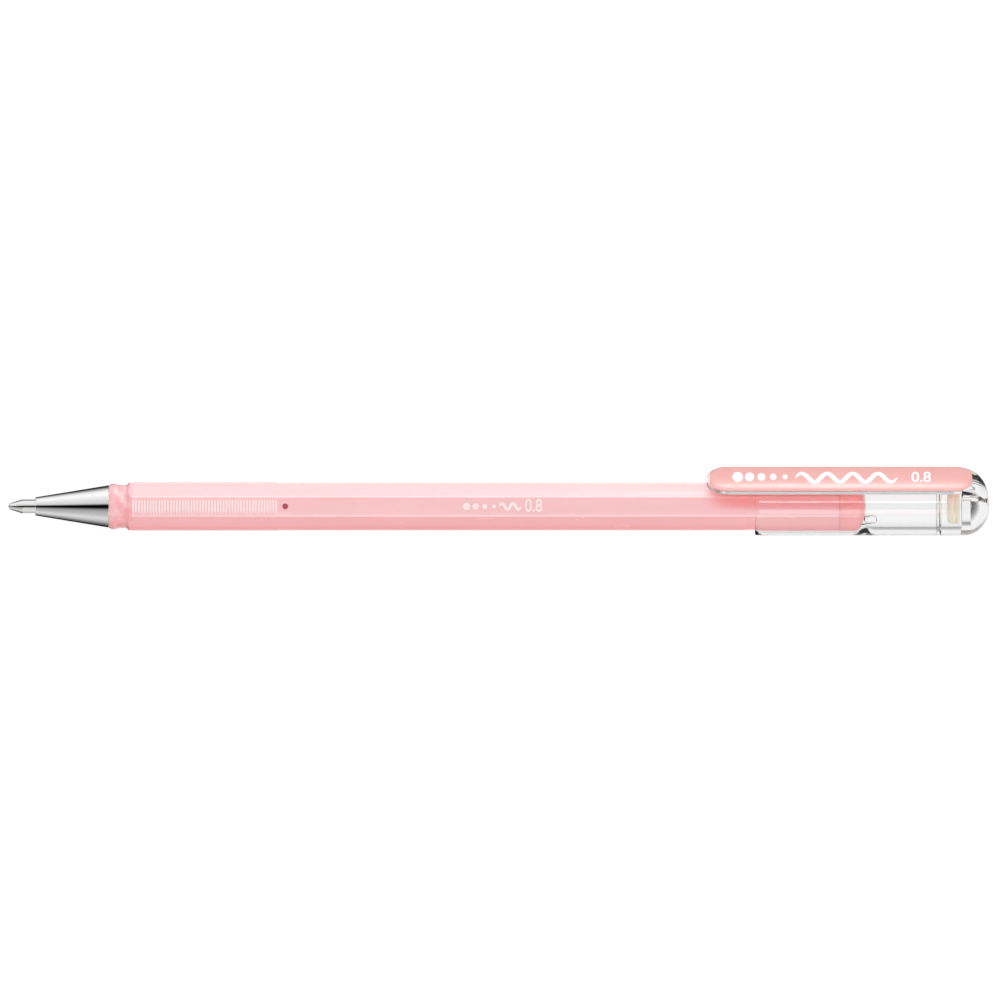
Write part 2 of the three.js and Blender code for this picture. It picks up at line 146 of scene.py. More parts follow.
DOME_CENTRE = 157.7
CROWN_WALL = 157.25
POCKET_RADIUS = 2.62
POCKET_SHOULDER = 158.5
POCKET_END = 159.7
SEAL_RADIUS = 2.85
CRUSH_RIB_RADIUS = 0.35
CRUSH_RIB_FRONT = 154.7

CLIP_HALF_WIDTH = 2.8
CLIP_UNDERSIDE = 5.53
CLIP_TOP = 6.31
CLIP_NOSE = 2.6
CLIP_BEAD = 118.0  # station of the bar that grips a pocket
ROOT_START = 156.9  # where the arm's underside turns down into the crown
HUMP_PLAN_START = 156.0
HUMP_PROFILE_START = 157.6
HUMP_END = 161.76
SQUARENESS = 2.5
CROWN_POWER = 2.6

INLAY_END = 2.5  # length of each rounded end
INLAY_CROWN = 0.2
PRINT_LIFT = 0.022
INLAY_BOTTOM = (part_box("clip_inlay")[0].z - AXIS) / MM + 0.015
INLAY_TOP = (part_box("clip_inlay")[1].z - AXIS) / MM


# ---- mesh helpers


def polar(station, radius, angle):
    return at(station, radius * math.cos(angle), radius * math.sin(angle))


def circle(station, radius, count=96):
    """A ring of points about the axis, or its one point where the radius is nothing."""
    if radius <= 0:
        return [at(station, 0, 0)]
    return [polar(station, radius, TURN * i / count) for i in range(count)]


def skin(rings, loop=False):
    """Vertices and faces of a surface through rings of equal length; one point makes a pole."""
    vertices = [point for ring in rings for point in ring]
    firsts = [0]
    for ring in rings:
        firsts.append(firsts[-1] + len(ring))
    pairs = [(i, i + 1) for i in range(len(rings) - 1)]
    if loop:
        pairs.append((len(rings) - 1, 0))
    faces = []
    for i, j in pairs:
        near = len(rings[i])
        far = len(rings[j])
        count = max(near, far)
        for k in range(count):
            after = (k + 1) % count
            corners = [firsts[i] + k % near, firsts[i] + after % near]
            corners += [firsts[j] + after % far, firsts[j] + k % far]
            faces.append(list(dict.fromkeys(corners)))
    return vertices, faces


def rounded(profile, steps=5):
    """The profile with a fillet at each corner that gives its reach as a third number."""
    points = []
    for i, corner in enumerate(profile):
        here = Vector(corner[:2])
        if len(corner) < 3:
            points.append(tuple(here))
            continue
        back = Vector(profile[i - 1][:2]) - here
        ahead = Vector(profile[(i + 1) % len(profile)][:2]) - here
        reach = min(corner[2], 0.45 * back.length, 0.45 * ahead.length)
        for k in range(steps + 1):
            t = k / steps
            bend = back.normalized() * (1 - t) ** 2 + ahead.normalized() * t**2
            points.append(tuple(here + bend * reach))
    return points


def add_object(name, data):
    obj = bpy.data.objects.new(name, data)
    bpy.context.scene.collection.objects.link(obj)
    return obj


def new_mesh(name, vertices, faces, sharp_angle=32):
    """A smooth-shaded object, faces out, with its edges over the angle kept crisp."""
    mesh = bpy.data.meshes.new(name)
    bm = bmesh.new()
    corners = [bm.verts.new(v) for v in vertices]
    for face in faces:
        if len(face) > 2:
            bm.faces.new([corners[k] for k in face])
    finish_bmesh(bm, mesh, sharp_angle)
    return add_object(name, mesh)


def finish_bmesh(bm, mesh, sharp_angle):
    bmesh.ops.recalc_face_normals(bm, faces=bm.faces)
    for face in bm.faces:
        face.smooth = True
    for edge in bm.edges:
        if len(edge.link_faces) == 2:
            edge.smooth = edge.calc_face_angle() < math.radians(sharp_angle)
    bm.to_mesh(mesh)
    bm.free()


def clean(obj, sharp_angle=32):
    """Smooth shading and crisp edges again, after a boolean."""
    bm = bmesh.new()
    bm.from_mesh(obj.data)
    finish_bmesh(bm, obj.data, sharp_angle)


def weigh_normals(obj):
    """Large faces keep their own shading beside small fillets."""
    modifier = obj.modifiers.new("weighted", "WEIGHTED_NORMAL")
    modifier.keep_sharp = True
    modifier.weight = 90
    return obj


def turned(name, profile, loop=False, count=96):
    """A turned piece from (station, radius[, fillet]) points."""
    rings = [circle(x, r, count) for x, r in rounded(profile)]
    return weigh_normals(new_mesh(name, *skin(rings, loop)))


def ball(name, node, steps, count):
    """A round ball that fills a CAD node."""
    low, high = span(node)
    middle = (low + high) / 2
    radius = (high - low) / 2
    rings = []
    for i in range(steps + 1):
        turn = math.pi * i / steps
        across = radius * math.sin(turn) if 0 < i < steps else 0
        rings.append(circle(middle - radius * math.cos(turn), across, count))
    return new_mesh(name, *skin(rings))


def dome(centre, length, radius, steps=18):
    """Profile of a quarter ellipse from its rim to the axis."""
    arc = [math.pi / 2 * i / steps for i in range(1, steps)]
    points = [(centre + length * math.sin(a), radius * math.cos(a)) for a in arc]
    return [*points, (centre + length, 0)]


def shallow_dome(shoulder, end, radius, flatness=0.845, steps=18):
    """Profile of a dome that meets its rim at an angle: the last part of a larger quarter ellipse."""
    first = math.asin(flatness)
    length = (end - shoulder) / (1 - flatness)
    arc = [first + (math.pi / 2 - first) * i / steps for i in range(1, steps)]
    points = [(end - length * (1 - math.sin(a)), radius * math.cos(a) / math.cos(first)) for a in arc]
    return [*points, (end, 0)]


def evaluated_mesh(obj):
    """A mesh of the object with its modifiers applied."""
    graph = bpy.context.evaluated_depsgraph_get()
    return bpy.data.meshes.new_from_object(obj.evaluated_get(graph))


def bake(obj):
    mesh = evaluated_mesh(obj)
    obj.modifiers.clear()
    obj.data = mesh


def combine(base, others, operation):
    """Joins the others to the base, or cuts them from it, and removes them."""
    for other in others:
        modifier = base.modifiers.new("combine", "BOOLEAN")
        modifier.operation = operation
        modifier.solver = "EXACT"
        modifier.object = other
    bpy.context.view_layer.update()
    bake(base)
    for other in others:
        bpy.data.objects.remove(other)


def dress(obj, material, body=None, replaces=()):
    """Gives a piece its material and slot, and its body and the CAD nodes that it stands for."""
    if not obj.data.materials:
        obj.data.materials.append(material)
    else:
        obj.data.materials[0] = material
    if body:
        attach(obj, body)
    if replaces:
        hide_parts(*replaces)
    return obj


# ---- materials


class Nodes:
    """The node tree of a material or a world, with the few nodes that they all share."""

    def __init__(self, owner):
        owner.use_nodes = True
        self.tree = owner.node_tree
        self.coordinates = self.add("ShaderNodeTexCoord").outputs

    def add(self, kind, **settings):
        node = self.tree.nodes.new(kind)
        for key, value in settings.items():
            setattr(node, key, value)
        return node

    def link(self, output, socket):
        self.tree.links.new(output, socket)

    def feed(self, value, socket):
        """Sets a socket to a number or colour, or links it to an output."""
        if isinstance(value, (int, float)):
            socket.default_value = value
        elif isinstance(value, tuple):
            socket.default_value = (*value, 1)
        else:
            self.link(value, socket)

    def split(self, vector):
        node = self.add("ShaderNodeSeparateXYZ")
        self.link(vector, node.inputs["Vector"])
        return [node.outputs[axis] for axis in "XYZ"]

    def maths(self, operation, first, second=0.0):
        node = self.add("ShaderNodeMath", operation=operation)
        self.feed(first, node.inputs[0])
        self.feed(second, node.inputs[1])
        return node.outputs[0]

    def mix(self, share, first, second, blend="MIX"):
        node = self.add("ShaderNodeMix", data_type="RGBA", blend_type=blend)
        self.feed(share, node.inputs["Factor"])
        self.feed(first, node.inputs["A"])
        self.feed(second, node.inputs["B"])
        return node.outputs["Result"]

    def remap(self, value, low, high, from_low=0.3, from_high=0.7):
        node = self.add("ShaderNodeMapRange")
        for socket, number in (
            ("From Min", from_low), ("From Max", from_high), ("To Min", low), ("To Max", high),
        ):
            node.inputs[socket].default_value = number
        self.link(value, node.inputs["Value"])
        return node.outputs["Result"]

    def ramp(self, value, stops):
        """Colour ramp from (position, (r, g, b)) stops, in linear light."""
        node = self.add("ShaderNodeValToRGB")
        elements = node.color_ramp.elements
        while len(elements) < len(stops):
            elements.new(0.5)
        for element, (position, colour) in zip(elements, stops):
            element.position = position
            element.color = (*colour, 1)
        self.link(value, node.inputs["Fac"])
        return node.outputs["Color"]


class Shader(Nodes):
    """A principled material."""

    def __init__(self, name, **sockets):
        self.material = bpy.data.materials.new(name)
        super().__init__(self.material)
        self.bsdf = self.tree.nodes["Principled BSDF"]
        for socket, value in sockets.items():
            self.bsdf.inputs[socket.replace("_", " ")].default_value = value

    def noise(self, scale, detail=3.0, stretch=(1, 1, 1)):
        """Noise in object space; scale is in lumps per metre, and stretch divides it by axis."""
        mapping = self.add("ShaderNodeMapping")
        mapping.inputs["Scale"].default_value = [1 / s for s in stretch]
        self.link(self.coordinates["Object"], mapping.inputs["Vector"])
        texture = self.add("ShaderNodeTexNoise")
        texture.inputs["Scale"].default_value = scale
        texture.inputs["Detail"].default_value = detail
        self.link(mapping.outputs["Vector"], texture.inputs["Vector"])
        return texture.outputs["Fac"]

    def roughness(self, low, high, scale, stretch=(1, 1, 1)):
        self.link(self.remap(self.noise(scale, 4, stretch), low, high), self.bsdf.inputs["Roughness"])

    def bump(self, height, strength, distance):
        """Bump from a height value; distance is in millimetres."""
        node = self.add("ShaderNodeBump")
        node.inputs["Strength"].default_value = strength
        node.inputs["Distance"].default_value = distance * MM
        self.link(height, node.inputs["Height"])
        self.link(node.outputs["Normal"], self.bsdf.inputs["Normal"])

    def tint(self, colour, other, scale, stretch=(1, 1, 1)):
        """Base colour that wanders a little between two close colours."""
        stops = [(0.35, colour), (0.65, other)]
        self.link(self.ramp(self.noise(scale, 3, stretch), stops), self.bsdf.inputs["Base Color"])


def linear(red, green, blue):
    """Linear colour from an 8-bit display colour."""

    def one(value):
        value /= 255
        return value / 12.92 if value <= 0.04045 else ((value + 0.055) / 1.055) ** 2.4

    return one(red), one(green), one(blue)


def finish(name, tint, roughness, bump=None, **sockets):
    """A material from the arguments of Shader's methods of the same names.

    `bump` is the arguments of its noise, then its strength and distance.
    """
    shader = Shader(name, **sockets)
    shader.tint(*tint)
    shader.roughness(*roughness)
    if bump:
        noise, strength, distance = bump
        shader.bump(shader.noise(*noise), strength, distance)
    return shader.material


# painted highlights: share of pale colour on the eight edges, then on every painted highlight
PAINTED_EDGE_HIGHLIGHT = 0.45
PAINTED_HIGHLIGHT_STRENGTH = 0.92
MOTTLING = (0.96, 0.76, 0.77)  # the neck's darker lumps, as a share of its colour
FLOW_LINES = (0.97, 0.96, 0.96)  # long faint streaks, as a share of the colour
PAINTED_SHADE_HEIGHTS = (0.3, 0.5, 0.7, 0.95)  # where the four colours of the painted shade are, as shares of the barrel's height


def painted_highlight_mask(shader, across, height, on_bar):
    """Mask of painted highlights: pale lines on the barrel's eight edges, and pale tops on detail that
    stands over its facets.
    """
    turn = shader.maths("ARCTAN2", height, across)
    from_edge = shader.maths("PINGPONG", shader.maths("ADD", turn, TURN), math.pi / 4)
    off_edge = shader.maths("ABSOLUTE", shader.maths("SUBTRACT", from_edge, math.pi / 8))
    line = shader.maths("MULTIPLY", shader.remap(off_edge, 1, 0, 0.018, 0.05), on_bar)
    edge = shader.maths("MULTIPLY", line, PAINTED_EDGE_HIGHLIGHT)
    square = shader.maths("ADD", shader.maths("POWER", across, 2), shader.maths("POWER", height, 2))
    radius = shader.maths("SQRT", square)
    off_facet = shader.maths("SUBTRACT", math.pi / 8, off_edge)
    reach = shader.maths("MULTIPLY", radius, shader.maths("COSINE", off_facet))
    raised = shader.remap(reach, 0, 1, (APOTHEM + 0.03) * MM, (APOTHEM + 0.065) * MM)
    return shader.maths("MULTIPLY", shader.maths("MAXIMUM", edge, raised), PAINTED_HIGHLIGHT_STRENGTH)


def milky_plastic(name, colours, pale):
    """Translucent pink moulding, with painted highlights in the colour `pale` on its edges and raised
    detail.

    `colours` are the bottom's, then those of the places above it, and change little: painted shade, deeper
    pink at the bottom.
    """
    shader = Shader(
        name, IOR=1.5, Specular_IOR_Level=0.7,
        Subsurface_Weight=0.25, Subsurface_Scale=1.0, Subsurface_Radius=(0.0022, 0.0011, 0.0011),
    )
    along, across, up = shader.split(shader.coordinates["Object"])
    height = shader.maths("SUBTRACT", up, AXIS)
    share = shader.remap(height, 0, 1, -APOTHEM * MM, APOTHEM * MM)
    # painted shade: colour by height, deeper pink towards the bottom
    colour = shader.ramp(share, list(zip(PAINTED_SHADE_HEIGHTS, colours)))
    bar_start = TIP_X + BAR_START * MM
    on_bar = shader.remap(along, 0, 1, bar_start, bar_start + 0.3 * MM)
    # painted highlights: pale lines on the edges and pale tops on raised detail
    colour = shader.mix(painted_highlight_mask(shader, across, height, on_bar), colour, pale)
    lumps = shader.ramp(shader.noise(520, 2, (0.6, 1, 1)), [(0.4, MOTTLING), (0.6, (1, 1, 1))])
    mottled = shader.mix(1.0, colour, lumps, "MULTIPLY")
    colour = shader.mix(shader.maths("SUBTRACT", 1.0, on_bar), colour, mottled)
    flow = shader.ramp(shader.noise(260, 3, (6, 1, 1)), [(0.35, FLOW_LINES), (0.65, (1, 1, 1))])
    shader.link(shader.mix(1.0, colour, flow, "MULTIPLY"), shader.bsdf.inputs["Base Color"])
    shader.roughness(0.18, 0.28, 700, (4, 1, 1))
    shader.bump(shader.noise(1500, 2), 0.05, 0.02)
    return shader.material


PINK = linear(247, 199, 201)
# painted shade: the barrel's first colour, at the bottom, is deeper pink, and its last, at the top edge, a
# little deeper
MILKY = milky_plastic(
    "milky_pink", (linear(243, 181, 184), PINK, linear(247, 201, 203), linear(247, 196, 198)),
    linear(254, 238, 239),
)
PLUG_PINK = linear(249, 190, 190)
# painted shade: the plug's first colour, at the bottom, is deeper pink
PLUG = milky_plastic(
    "plug_pink", (linear(245, 178, 180), linear(248, 186, 187), PLUG_PINK, PLUG_PINK),
    linear(253, 222, 223),
)
CLEAR = finish(
    "clear_plastic", tint=((0.99, 0.995, 0.995), (1, 1, 1), 180), roughness=(0.005, 0.03, 500),
    bump=((160, 1, (3, 1, 1)), 0.04, 0.05), IOR=1.49, Transmission_Weight=1.0,
)
FROSTED = finish(
    "clear_frosted", tint=((0.93, 0.94, 0.94), (0.98, 0.98, 0.98), 180), roughness=(0.3, 0.42, 500),
    bump=((1800, 2), 0.1, 0.02), IOR=1.49, Transmission_Weight=1.0,
)
PLATING = finish(
    "nose_plating", tint=((0.93, 0.93, 0.935), (0.97, 0.97, 0.972), 500),
    roughness=(0.03, 0.08, 2500, (0.1, 4, 4)), bump=((3500, 2, (0.25, 30, 30)), 0.03, 0.01),
    Metallic=1.0,
)
STEEL = finish(
    "tip_steel", tint=((0.88, 0.88, 0.875), (0.93, 0.93, 0.925), 900),
    roughness=(0.03, 0.07, 4000, (0.1, 4, 4)), bump=((9000, 2, (0.3, 30, 30)), 0.02, 0.01),
    Metallic=1.0,
)
HARD_METAL = finish(
    "ball_hard_metal", tint=((0.5, 0.5, 0.52), (0.62, 0.62, 0.63), 4000),
    roughness=(0.1, 0.22, 8000), Metallic=1.0,
)
SEAL = finish(
    "seal_rubber", tint=(linear(220, 209, 186), linear(236, 227, 208), 900, (0.3, 2, 2)),
    roughness=(0.5, 0.68, 2500), bump=((4500, 3), 0.25, 0.02),
    IOR=1.45, Subsurface_Weight=0.1, Subsurface_Radius=(0.0008, 0.0006, 0.0004),
)
INLAY = finish(
    "inlay_pink", tint=(linear(239, 174, 169), linear(241, 179, 174), 300),
    roughness=(0.16, 0.24, 600), bump=((900, 2), 0.03, 0.02), IOR=1.5,
)
WHITE_PRINT = finish(
    "white_print", tint=((0.93, 0.93, 0.93), (0.98, 0.98, 0.98), 2500),
    roughness=(0.3, 0.5, 3000), bump=((6000, 2), 0.1, 0.01), IOR=1.45,
)
PALE_PRINT = finish(
    "pale_pink", tint=(linear(246, 222, 222), linear(250, 230, 230), 2500),
    roughness=(0.3, 0.45, 3000), IOR=1.45,
)
HOLDER = finish(
    "holder_plastic", tint=((0.8, 0.79, 0.76), (0.86, 0.85, 0.83), 700),
    roughness=(0.35, 0.5, 900), bump=((2500, 2), 0.1, 0.02),
    IOR=1.5, Subsurface_Weight=0.3, Subsurface_Radius=(0.001, 0.001, 0.0009),
)
TUBE = finish(
    "tube_plastic", tint=((0.9, 0.91, 0.9), (0.96, 0.96, 0.95), 200, (10, 1, 1)),
    roughness=(0.15, 0.3, 500, (8, 1, 1)), IOR=1.5, Transmission_Weight=0.7,
)
INK = finish(
    "gel_ink", tint=(linear(246, 160, 170), linear(250, 180, 188), 500, (3, 1, 1)),
    roughness=(0.2, 0.35, 500), IOR=1.4,
)
GREASE = finish(
    "follower_grease", tint=((0.86, 0.82, 0.6), (0.92, 0.89, 0.72), 900),
    roughness=(0.1, 0.25, 1500), IOR=1.46, Transmission_Weight=0.5,
)
# painted shade: the dark inside of the vent
VENT_PAINTED_SHADE = finish(
    "vent_painted_shade", tint=(linear(176, 80, 98), linear(194, 96, 112), 1500),
    roughness=(0.5, 0.7, 3000), IOR=1.45,
)


# ---- refill


def make_tip():
    point = ball("writing_ball_fine", "writing_ball", 24, 48)
    dress(point, HARD_METAL, "writing_ball", ["writing_ball"])
    tip = turned("point_tip_fine", [
        (TIP_FRONT, 0.395), (TIP_FRONT, 0.5, 0.04), (2.24, TIP_RADIUS, 0.12), (TIP_END, TIP_RADIUS, 0.05),
        (TIP_END, 0.75), (2.6, 0.75), (1.9, INK_CHANNEL), (0.83, INK_CHANNEL), (0.75, 0.3),
        (0.6, 0.39), (0.4, 0.43),
    ], loop=True, count=64)
    dress(tip, STEEL, "refill", ["point_tip"])


def make_holder():
    """The moulded joint between tip and ink tube, with the check ball's chamber inside."""
    flange = SHANK_END + 0.05
    holder = turned("tip_holder_fine", [
        (HOLDER_FRONT, 1.17), (HOLDER_FRONT, 1.85, 0.1), (13.1, 1.85), (13.1, 2.27, 0.1),
        (flange, 2.27, 0.1), (flange, 2.75, 0.1), (flange + 0.8, 2.75, 0.1), (flange + 0.8, 2.17),
        (HOLDER_END, 2.17, 0.2), (HOLDER_END, 0.6), (14.4, 0.6), (14.0, 1.0), (12.05, 1.0), (12.05, 1.17),
    ], loop=True, count=64)
    dress(holder, HOLDER, "refill", ["tip_holder"])
    check = ball("check_ball_fine", "check_ball", 20, 40)
    dress(check, STEEL, "check_ball", ["check_ball"])


def make_ink():
    """The tube, the ink, which shortens as it is used, and the grease that follows it."""
    tube = turned("ink_tube_fine", [
        (TUBE_FRONT, TUBE_BORE), (TUBE_FRONT, TUBE_RADIUS, 0.1), (TUBE_END, TUBE_RADIUS, 0.1),
        (TUBE_END, TUBE_BORE),
    ], loop=True, count=64)
    dress(tube, TUBE, "refill", ["ink_tube"])
    ink = turned("ink_gel_fine", [
        (INK_FRONT, 0), (INK_FRONT, INK_RADIUS), (INK_END, INK_RADIUS), (INK_END, 0),
    ], count=48)
    dress(ink, INK, "refill", ["ink_gel"])
    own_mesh(ink)
    follower = turned("ink_follower_fine", [
        (FOLLOWER_FRONT, 0), (FOLLOWER_FRONT, INK_RADIUS, 0.3), (FOLLOWER_END, INK_RADIUS, 0.3),
        (FOLLOWER_END - 0.5, 0),
    ], count=48)
    dress(follower, GREASE, "ink_follower", ["ink_follower"])


# ---- nose cone


def threaded_shank(count=144, step=0.05):
    """Rings of the shank, whose radius follows a helical thread that fades at both of its ends."""
    rings = []
    total = int((SHANK_END - 0.3 - NOSE_REAR) / step)
    for i in range(1, total):
        station = NOSE_REAR + i * step
        run_out = min(1.0, (i - 1) / 6, (total - i) / 6)
        ring = []
        for k in range(count):
            phase = ((station - NOSE_REAR) / THREAD_PITCH - k / count) % 1
            depth = THREAD_DEPTH * abs(2 * phase - 1) * run_out + THREAD_DEPTH * (1 - run_out)
            ring.append(polar(station, SHANK_RADIUS - depth, TURN * k / count))
        rings.append(ring)
    return rings


def make_nose(count=144):
    """The plated cone and its shank, which is hollow for the refill."""
    outer = rounded([
        (NOSE_FRONT, 1.2), (NOSE_FRONT, 1.52, 0.12), (NOSE_REAR, NOSE_REAR_RADIUS, 0.08),
        (NOSE_REAR, SHANK_RADIUS - THREAD_DEPTH),
    ])
    inner = rounded([
        (SHANK_END, 2.5, 0.1), (SHANK_END, 2.32), (12.9, 2.32), (12.9, 1.9), (9.7, 1.9), (9.7, 1.2),
    ])
    rings = [circle(x, r, count) for x, r in outer]
    rings += threaded_shank(count)
    rings += [circle(x, r, count) for x, r in inner]
    nose = weigh_normals(new_mesh("nose_cone_fine", *skin(rings, loop=True), sharp_angle=50))
    dress(nose, PLATING, "nose", ["nose_cone"])


# ---- barrel and plug

FACET_NORMAL = Vector((0, -1, 1)).normalized()
FACET_UP = Vector((0, 1, 1)).normalized()


def on_facet(x, y, reach):
    """Point over the front facet, from a station, a height up the facet and a reach from the axis."""
    return at(x, 0, 0) + (FACET_NORMAL * reach + FACET_UP * y) * MM


def section_angles():
    """Directions round the barrel: samples over each facet, then over each rounded edge."""
    flats = [-RIB_HALF_SPAN - 0.05, -RIB_HALF_SPAN, -RIB_HALF_SPAN + 0.08, -0.7, -0.35, 0.0]
    flats += [-s for s in reversed(flats[:-1])]
    angles = []
    for facet in range(8):
        centre = facet * math.pi / 4
        angles += [(centre + math.atan2(s, APOTHEM), facet, s) for s in flats]
        edge = centre + math.pi / 8
        spread = math.pi / 8 - math.atan2(RIB_HALF_SPAN + 0.05, APOTHEM)
        angles += [(edge + spread * t, None, 0.0) for t in (-0.66, -0.4, -0.2, 0.0, 0.2, 0.4, 0.66)]
    return angles


SECTION = section_angles()


def bar_radius(angle, apothem):
    """Distance from the axis to the rounded octagon in a direction."""
    facet = round(angle / (math.pi / 4)) * math.pi / 4
    flat = apothem / math.cos(angle - facet)
    edge = (math.floor(angle / (math.pi / 4)) + 0.5) * math.pi / 4
    reach = (apothem - CORNER) / math.cos(math.pi / 8)
    side = reach * math.sin(angle - edge)
    if abs(side) >= CORNER:
        return flat
    return min(flat, reach * math.cos(angle - edge) + math.sqrt(CORNER**2 - side**2))


def rib_height(station, across):
    """Height of the grip ribs over a diagonal facet."""
    count = (station - RIB_FIRST) / RIB_PITCH
    nearest = min(max(round(count), 0), RIB_COUNT - 1)
    off = abs(station - (RIB_FIRST + nearest * RIB_PITCH))
    along = min(1.0, max(0.0, (0.17 - off) / 0.09))
    side = min(1.0, max(0.0, (RIB_HALF_SPAN + 0.02 - abs(across)) / 0.08))
    return RIB_HEIGHT * math.sin(math.pi / 2 * along) * math.sin(math.pi / 2 * side)


def neck_radius(station):
    """The round trim of the barrel's front: bead, waist, then a cone that meets the facets."""
    edge = NOSE_REAR_RADIUS + GAP
    waist = BARREL_FRONT + BEAD_LENGTH
    if station < waist:
        share = (station - BARREL_FRONT) / BEAD_LENGTH
        return edge + (BEAD_RADIUS - edge) * math.sin(math.pi * share) ** 0.8
    if station < NECK_END:
        return NECK_RADIUS - 0.02 * math.sin(math.pi * (station - waist) / (NECK_END - waist))
    return NECK_RADIUS + (station - NECK_END)


def soft_min(a, b, blend=0.05):
    share = max(0.0, blend - abs(a - b)) / blend
    return min(a, b) - share * share * blend / 4


def outer_ring(station, apothem, ribbed=False):
    """The barrel's outline at a station: octagon, cut by its round neck, under its ribs."""
    ring = []
    neck = neck_radius(station)
    for angle, facet, across in SECTION:
        radius = bar_radius(angle, apothem)
        if neck < 5:
            radius = soft_min(radius, neck)
        if ribbed and facet is not None and facet % 2:
            radius += rib_height(station, across) / math.cos(angle - facet * math.pi / 4)
        ring.append(polar(station, radius, angle))
    return ring


def barrel_stations():
    """Stations of the outer surface, with each one's apothem and whether ribs stand on it."""
    waist_start = BARREL_FRONT + BEAD_LENGTH
    neck = [BARREL_FRONT + BEAD_LENGTH * i / 24 for i in range(24)]
    waist = [waist_start + (NECK_END - waist_start) * i / 10 for i in range(10)]
    cone = [NECK_END + 0.85 * i / 24 for i in range(24)]
    offsets = (-0.241, -0.17, -0.14, -0.11, -0.08, 0.0, 0.08, 0.11, 0.14, 0.17)
    ribs = [RIB_FIRST + i * RIB_PITCH + off for i in range(RIB_COUNT) for off in offsets]
    ribs = [s for s in ribs if s > cone[-1]]
    vent = [VENT_STATION + 0.28 * i for i in range(-3, 4)]
    plain = [VENT_STATION + 1.2 + i * (TAIL_STEP - VENT_STATION - 1.3) / 40 for i in range(41)]
    tail = [TAIL_STEP + 0.02, TAIL_STEP + 0.4, MOUTH, MOUTH + 4, 132.0, BARREL_END - 0.3, BARREL_END - 0.05]
    rows = [(s, APOTHEM, False) for s in neck + waist + cone]
    rows += [(s, APOTHEM, True) for s in ribs]
    rows += [(s, APOTHEM, False) for s in vent + plain]
    rows += [(s, TAIL_APOTHEM, False) for s in tail]
    return [*rows, (BARREL_END, TAIL_APOTHEM - 0.05, False)]


def inner_ring(station, radius):
    return [polar(station, radius, angle) for angle, _, _ in SECTION]


def vent_ring(bm, outline, centre, radius, depth):
    """A ring of new vertices round the vent, each in line with a vertex of the outline."""
    ring = []
    for vertex in outline:
        off = vertex.co - centre
        angle = math.atan2(off.dot(FACET_UP), off.x)
        spoke = Vector((1, 0, 0)) * math.cos(angle) + FACET_UP * math.sin(angle)
        ring.append(bm.verts.new(centre + spoke * radius * MM - FACET_NORMAL * depth * MM))
    return ring


def open_patch(bm, centre):
    """Removes the faces over the vent, and gives the vertices round them in order."""
    patch = []
    for face in bm.faces:
        off = face.calc_center_median() - centre
        flat = abs(off.dot(FACET_NORMAL)) < 0.05 * MM
        if flat and abs(off.x) < 0.84 * MM and abs(off.dot(FACET_UP)) < 0.7 * MM:
            patch.append(face)
    edges = {edge for face in patch for edge in face.edges}
    rim = [edge for edge in edges if sum(face in patch for face in edge.link_faces) == 1]
    bmesh.ops.delete(bm, geom=patch, context="FACES")
    outline = {vertex for edge in rim for vertex in edge.verts}
    return sorted(outline, key=lambda v: math.atan2((v.co - centre).dot(FACET_UP), (v.co - centre).x))


def cut_vent(obj):
    """A round blind hole in the front facet, behind its ribs, with painted shade, a dark burgundy, on its
    deeper wall and its floor.
    """
    centre = on_facet(VENT_STATION, 0, APOTHEM)
    bm = bmesh.new()
    bm.from_mesh(obj.data)
    outline = open_patch(bm, centre)
    rings = [outline]
    for wider, depth in ((0.24, 0), (0.05, 0), (0, 0.05), (0, VENT_DEPTH)):
        rings.append(vent_ring(bm, outline, centre, VENT_RADIUS + wider, depth))
    count = len(outline)
    for near, far in zip(rings, rings[1:]):
        for k in range(count):
            after = (k + 1) % count
            face = bm.faces.new([near[k], near[after], far[after], far[k]])
            # painted shade on the deeper wall
            face.material_index = 1 if near is rings[3] else 0
    # painted shade on the floor
    floor = bm.faces.new(rings[-1])
    floor.material_index = 1
    finish_bmesh(bm, obj.data, 40)


def make_barrel():
    rings = [outer_ring(*row) for row in barrel_stations()]
    bore = (
        (BARREL_END, BARREL_BORE), (22.0, BARREL_BORE), (21.6, SHANK_BORE), (BARREL_FRONT, SHANK_BORE),
    )
    rings += [inner_ring(s, r) for s, r in bore]
    barrel = new_mesh("barrel_fine", *skin(rings, loop=True), sharp_angle=50)
    barrel.data.materials.append(MILKY)
    barrel.data.materials.append(VENT_PAINTED_SHADE)
    cut_vent(barrel)
    weigh_normals(barrel)
    return dress(barrel, MILKY, "barrel", ["barrel"])


def plug_dome(steps=14):
    """Rings of the plug's end, from octagonal at its rim to a point."""
    rings = []
    length = PLUG_END - PLUG_RIM
    for i in range(steps):
        angle = math.pi / 2 * i / steps
        station = PLUG_RIM + length * math.sin(angle)
        ring = []
        for direction, _, _ in SECTION:
            radius = soft_min(bar_radius(direction, TAIL_APOTHEM), 4.15 * math.cos(angle), 0.25)
            ring.append(polar(station, radius, direction))
        rings.append(ring)
    return [*rings, [at(PLUG_END, 0, 0)]]


def make_plug():
    """Domed octagonal tail plug with its spigot."""
    start = BARREL_END + GAP
    rings = [[at(PLUG_FRONT + 0.5, 0, 0)], inner_ring(PLUG_FRONT + 0.5, 2.2), inner_ring(PLUG_FRONT, 2.68)]
    rings += [inner_ring(PLUG_FRONT + 0.5, SPIGOT_RADIUS), inner_ring(start, SPIGOT_RADIUS)]
    rings += [outer_ring(start, TAIL_APOTHEM - 0.06)]
    rings += [outer_ring(s, TAIL_APOTHEM) for s in (start + 0.06, start + 1.2, PLUG_RIM - 0.4)]
    rings += plug_dome()
    plug = weigh_normals(new_mesh("tail_plug_fine", *skin(rings), sharp_angle=40))
    return dress(plug, PLUG, "barrel", ["tail_plug"])


